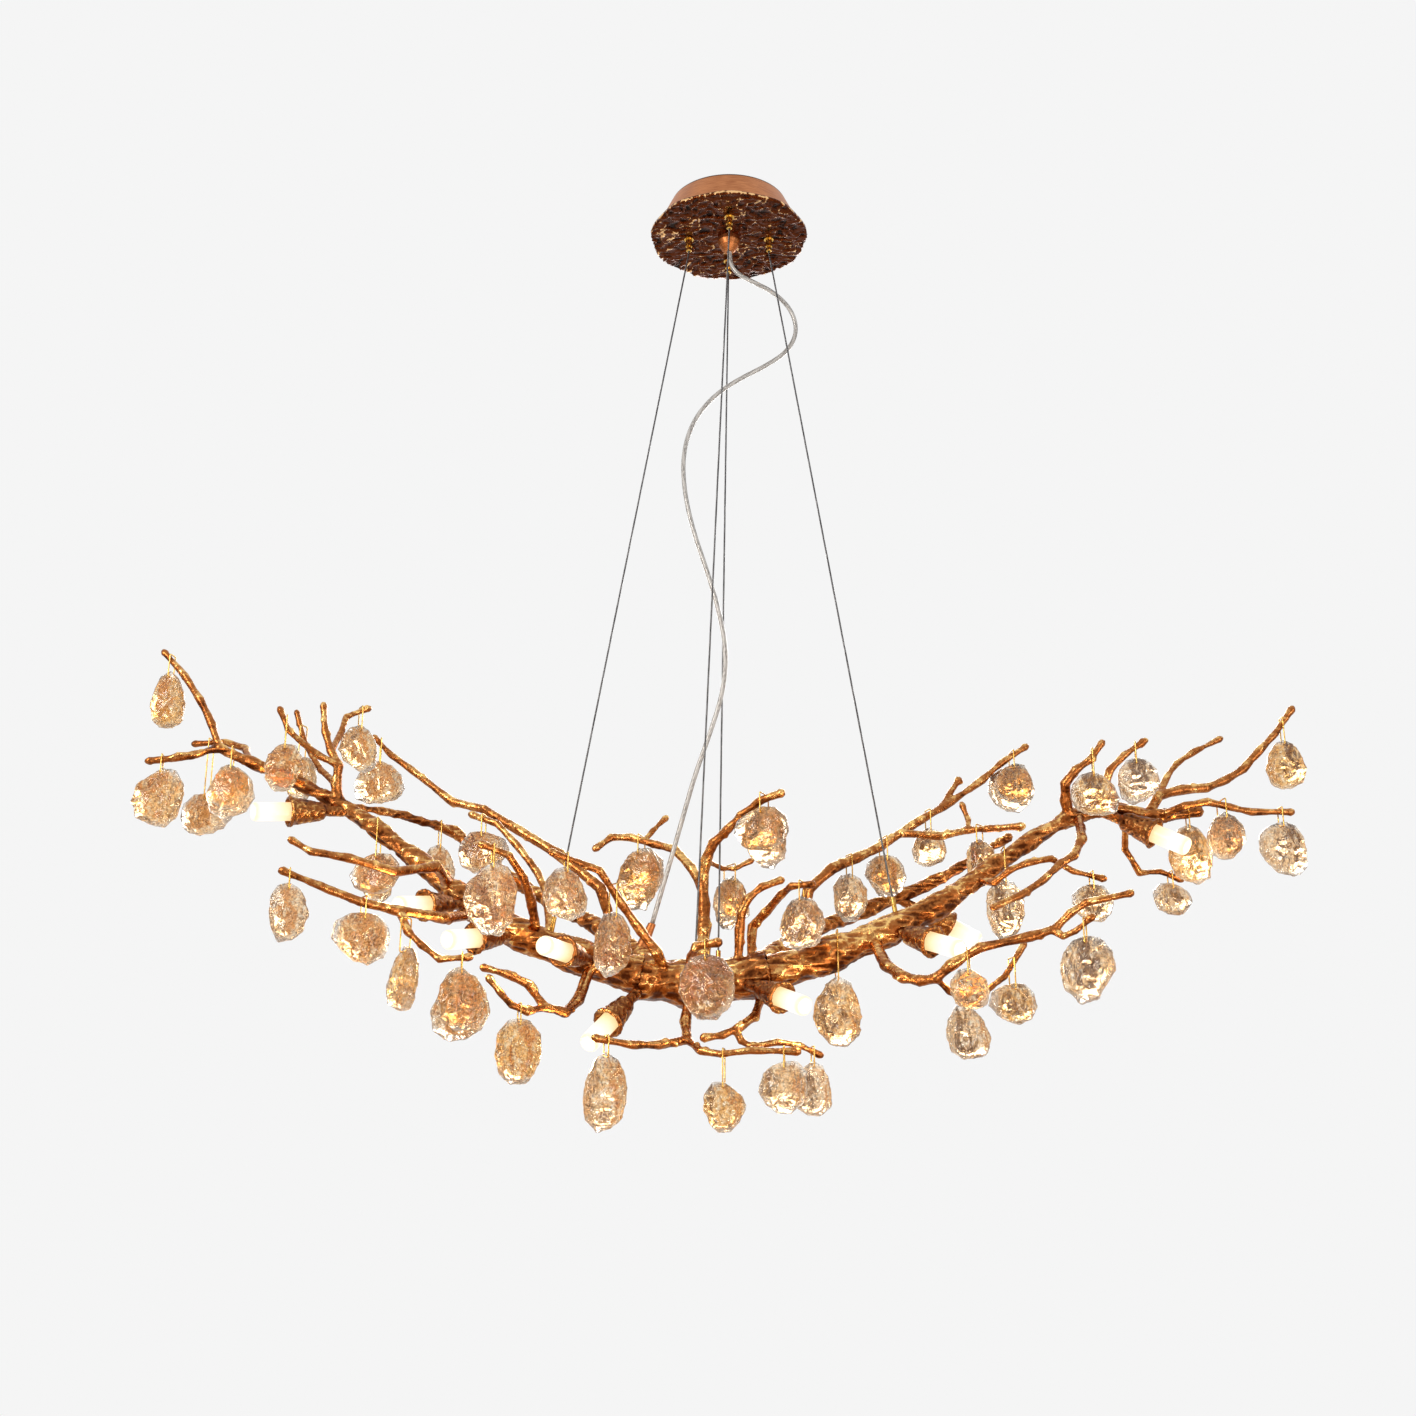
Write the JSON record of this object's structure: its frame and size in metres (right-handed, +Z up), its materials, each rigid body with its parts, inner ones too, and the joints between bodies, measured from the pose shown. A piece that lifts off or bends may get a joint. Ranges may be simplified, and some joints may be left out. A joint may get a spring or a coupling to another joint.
{
  "type": "chandelier",
  "caption": "Long chandelier of cast bronze branches with glass drops and small tube lamps, hung on steel wires from a round canopy.",
  "frame": {"origin": "middle of the ceiling bracket's top face, which lies on the ceiling", "axes": "+Z up out of the ceiling face, +X along the length of the boughs to the viewer's right, -Y towards the viewer"},
  "size_m": [1.2252, 0.3153, 1.0472],
  "materials": {
    "bronze": "brown patinated bronze, rubbed to gold on raised bark",
    "brass": "polished",
    "steel": "bright drawn wire",
    "cord": "clear sheath over tinned conductors",
    "terminal": "moulded",
    "porcelain": "plain",
    "lamp": "frosted, lit",
    "clear_glass": "wrinkled cast glass, clear",
    "amber_glass": "wrinkled cast glass, amber"
  },
  "bodies": {
    "canopy": {"ceiling_bracket": "steel", "canopy_cup": "bronze", "canopy_plate": "bronze", "canopy_screws": "brass", "terminal_block": "terminal", "canopy_gland": "bronze", "gripper_bodies": "brass", "gripper_nuts": "brass", "wire_left": "steel", "wire_right": "steel", "wire_front": "steel", "wire_back": "steel", "power_cord": "cord"},
    "branch_frame": {"hub": "bronze", "left_bough": "bronze", "right_bough": "bronze", "rear_left_bough": "bronze", "rear_right_bough": "bronze", "twigs_left": "bronze", "twigs_lower_left": "bronze", "twigs_centre": "bronze", "twigs_lower_centre": "bronze", "twigs_right": "bronze", "twigs_lower_right": "bronze", "wire_ferrules": "steel", "frame_gland": "bronze", "lamp_cups": "bronze", "lamp_holders": "porcelain", "lamps": "lamp", "drop_rings": "brass", "seated_drops_left": "amber_glass", "seated_drops_right": "clear_glass"},
    "release_collar_left": {"release_collar_left": "brass"},
    "release_collar_right": {"release_collar_right": "brass"},
    "release_collar_front": {"release_collar_front": "brass"},
    "release_collar_back": {"release_collar_back": "brass"},
    "drop_left_tip": {"drop_left_tip": "amber_glass"},
    "drop_left_top": {"drop_left_top": "amber_glass"},
    "drop_left_low": {"drop_left_low": "clear_glass"},
    "drop_left_front": {"drop_left_front": "amber_glass"},
    "drop_left_crown": {"drop_left_crown": "clear_glass"},
    "drop_upper_left": {"drop_upper_left": "clear_glass"},
    "drop_lower_left_tip": {"drop_lower_left_tip": "clear_glass"},
    "drop_lower_left": {"drop_lower_left": "amber_glass"},
    "drop_fork_left": {"drop_fork_left": "amber_glass"},
    "drops_fork_pair": {"drops_fork_pair": "amber_glass"},
    "drop_lower_fork": {"drop_lower_fork": "amber_glass"},
    "drop_large_left": {"drop_large_left": "clear_glass"},
    "drop_front_left": {"drop_front_left": "clear_glass"},
    "drop_beside_lamp": {"drop_beside_lamp": "clear_glass"},
    "drop_centre_front": {"drop_centre_front": "amber_glass"},
    "drops_centre_right": {"drops_centre_right": "amber_glass"},
    "drop_low_left": {"drop_low_left": "clear_glass"},
    "drop_low_centre": {"drop_low_centre": "amber_glass"},
    "drop_low_right": {"drop_low_right": "clear_glass"},
    "drop_under_bough": {"drop_under_bough": "amber_glass"},
    "drop_loop_right": {"drop_loop_right": "clear_glass"},
    "drop_lower_right": {"drop_lower_right": "clear_glass"},
    "drop_right_tip": {"drop_right_tip": "clear_glass"},
    "drop_right_top": {"drop_right_top": "amber_glass"}
  },
  "joints": [
    {"name": "height_adjust", "type": "slide", "parent": "canopy", "child": "branch_frame", "axis": [0, 0, 1], "range_m": [0, 0.25], "deforming": ["wire_left", "wire_right", "wire_front", "wire_back", "power_cord"]},
    {"name": "release_collar_left_press", "type": "slide", "parent": "canopy", "child": "release_collar_left", "axis": [0, 0, 1], "range_m": [0, 0.002], "stiffness_N_per_m": 300, "springref_m": -0.001},
    {"name": "release_collar_right_press", "type": "slide", "parent": "canopy", "child": "release_collar_right", "axis": [0, 0, 1], "range_m": [0, 0.002], "stiffness_N_per_m": 300, "springref_m": -0.001},
    {"name": "release_collar_front_press", "type": "slide", "parent": "canopy", "child": "release_collar_front", "axis": [0, 0, 1], "range_m": [0, 0.002], "stiffness_N_per_m": 300, "springref_m": -0.001},
    {"name": "release_collar_back_press", "type": "slide", "parent": "canopy", "child": "release_collar_back", "axis": [0, 0, 1], "range_m": [0, 0.002], "stiffness_N_per_m": 300, "springref_m": -0.001},
    {"name": "drop_left_tip_swing", "type": "hinge", "parent": "branch_frame", "child": "drop_left_tip", "pos_m": [-0.588, -0.01875, -0.6825], "axis": [-0.1376, 0.9905, 0], "range_deg": [-12, 12]},
    {"name": "drop_left_top_swing", "type": "hinge", "parent": "branch_frame", "child": "drop_left_top", "pos_m": [-0.5951, 0.0035, -0.5705], "axis": [0.2124, 0.9772, 0], "range_deg": [-12, 12]},
    {"name": "drop_left_low_swing", "type": "hinge", "parent": "branch_frame", "child": "drop_left_low", "pos_m": [-0.555, 0.035, -0.696], "axis": [0.1961, 0.9806, 0], "range_deg": [-12, 12]},
    {"name": "drop_left_front_swing", "type": "hinge", "parent": "branch_frame", "child": "drop_left_front", "pos_m": [-0.4594, -0.0304, -0.6596], "axis": [-0.2747, 0.9615, 0], "range_deg": [-12, 12]},
    {"name": "drop_left_crown_swing", "type": "hinge", "parent": "branch_frame", "child": "drop_left_crown", "pos_m": [-0.3974, 0.036, -0.6202], "axis": [-0.507, 0.8619, 0], "range_deg": [-12, 12]},
    {"name": "drop_upper_left_swing", "type": "hinge", "parent": "branch_frame", "child": "drop_upper_left", "pos_m": [-0.391, 0.12125, -0.637], "axis": [-0.2983, 0.9545, 0], "range_deg": [-12, 12]},
    {"name": "drop_lower_left_tip_swing", "type": "hinge", "parent": "branch_frame", "child": "drop_lower_left_tip", "pos_m": [-0.413, -0.1572, -0.8301], "axis": [-0.2577, 0.9662, 0], "range_deg": [-12, 12]},
    {"name": "drop_lower_left_swing", "type": "hinge", "parent": "branch_frame", "child": "drop_lower_left", "pos_m": [-0.3476, -0.1327, -0.8535], "axis": [-0.5603, 0.8283, 0], "range_deg": [-12, 12]},
    {"name": "drop_fork_left_swing", "type": "hinge", "parent": "branch_frame", "child": "drop_fork_left", "pos_m": [-0.309, -0.12, -0.8828], "axis": [0.7071, 0.7071, 0], "range_deg": [-12, 12]},
    {"name": "drops_fork_pair_swing", "type": "hinge", "parent": "branch_frame", "child": "drops_fork_pair", "pos_m": [-0.2543, -0.1244, -0.9042], "axis": [-0.1713, 0.9852, 0], "range_deg": [-12, 12]},
    {"name": "drop_lower_fork_swing", "type": "hinge", "parent": "branch_frame", "child": "drop_lower_fork", "pos_m": [-0.1995, -0.119, -0.9505], "axis": [-0.3714, 0.9285, 0], "range_deg": [-12, 12]},
    {"name": "drop_large_left_swing", "type": "hinge", "parent": "branch_frame", "child": "drop_large_left", "pos_m": [-0.2334, -0.0896, -0.7964], "axis": [-0.3417, 0.9398, 0], "range_deg": [-12, 12]},
    {"name": "drop_front_left_swing", "type": "hinge", "parent": "branch_frame", "child": "drop_front_left", "pos_m": [-0.1615, -0.09275, -0.80125], "axis": [-0.3752, 0.9269, 0], "range_deg": [-12, 12]},
    {"name": "drop_beside_lamp_swing", "type": "hinge", "parent": "branch_frame", "child": "drop_beside_lamp", "pos_m": [-0.117, -0.067, -0.8402], "axis": [-0.7071, 0.7071, 0], "range_deg": [-12, 12]},
    {"name": "drop_centre_front_swing", "type": "hinge", "parent": "branch_frame", "child": "drop_centre_front", "pos_m": [-0.0252, -0.0696, -0.8828], "axis": [0.3162, 0.9487, 0], "range_deg": [-12, 12]},
    {"name": "drops_centre_right_swing", "type": "hinge", "parent": "branch_frame", "child": "drops_centre_right", "pos_m": [0.0334, -0.0236, -0.7262], "axis": [0.4258, 0.9048, 0], "range_deg": [-12, 12]},
    {"name": "drop_low_left_swing", "type": "hinge", "parent": "branch_frame", "child": "drop_low_left", "pos_m": [-0.1188, -0.1088, -0.9788], "axis": [-0.4586, 0.8886, 0], "range_deg": [-12, 12]},
    {"name": "drop_low_centre_swing", "type": "hinge", "parent": "branch_frame", "child": "drop_low_centre", "pos_m": [-0.0092, -0.0915, -1.0057], "axis": [0.1758, 0.9844, 0], "range_deg": [-12, 12]},
    {"name": "drop_low_right_swing", "type": "hinge", "parent": "branch_frame", "child": "drop_low_right", "pos_m": [0.0472, -0.0992, -0.9878], "axis": [0.102, 0.9948, 0], "range_deg": [-12, 12]},
    {"name": "drop_under_bough_swing", "type": "hinge", "parent": "branch_frame", "child": "drop_under_bough", "pos_m": [0.1051, -0.01, -0.8955], "axis": [0, 1, 0], "range_deg": [-12, 12]},
    {"name": "drop_loop_right_swing", "type": "hinge", "parent": "branch_frame", "child": "drop_loop_right", "pos_m": [0.2208, -0.094, -0.934], "axis": [-0.204, 0.979, 0], "range_deg": [-12, 12]},
    {"name": "drop_lower_right_swing", "type": "hinge", "parent": "branch_frame", "child": "drop_lower_right", "pos_m": [0.3247, -0.1515, -0.8787], "axis": [0.4138, 0.9104, 0], "range_deg": [-12, 12]},
    {"name": "drop_right_tip_swing", "type": "hinge", "parent": "branch_frame", "child": "drop_right_tip", "pos_m": [0.5626, -0.0168, -0.7382], "axis": [-0.1075, 0.9942, 0], "range_deg": [-12, 12]},
    {"name": "drop_right_top_swing", "type": "hinge", "parent": "branch_frame", "child": "drop_right_top", "pos_m": [0.5878, 0.025, -0.6388], "axis": [0, 1, 0], "range_deg": [-12, 12]}
  ]
}
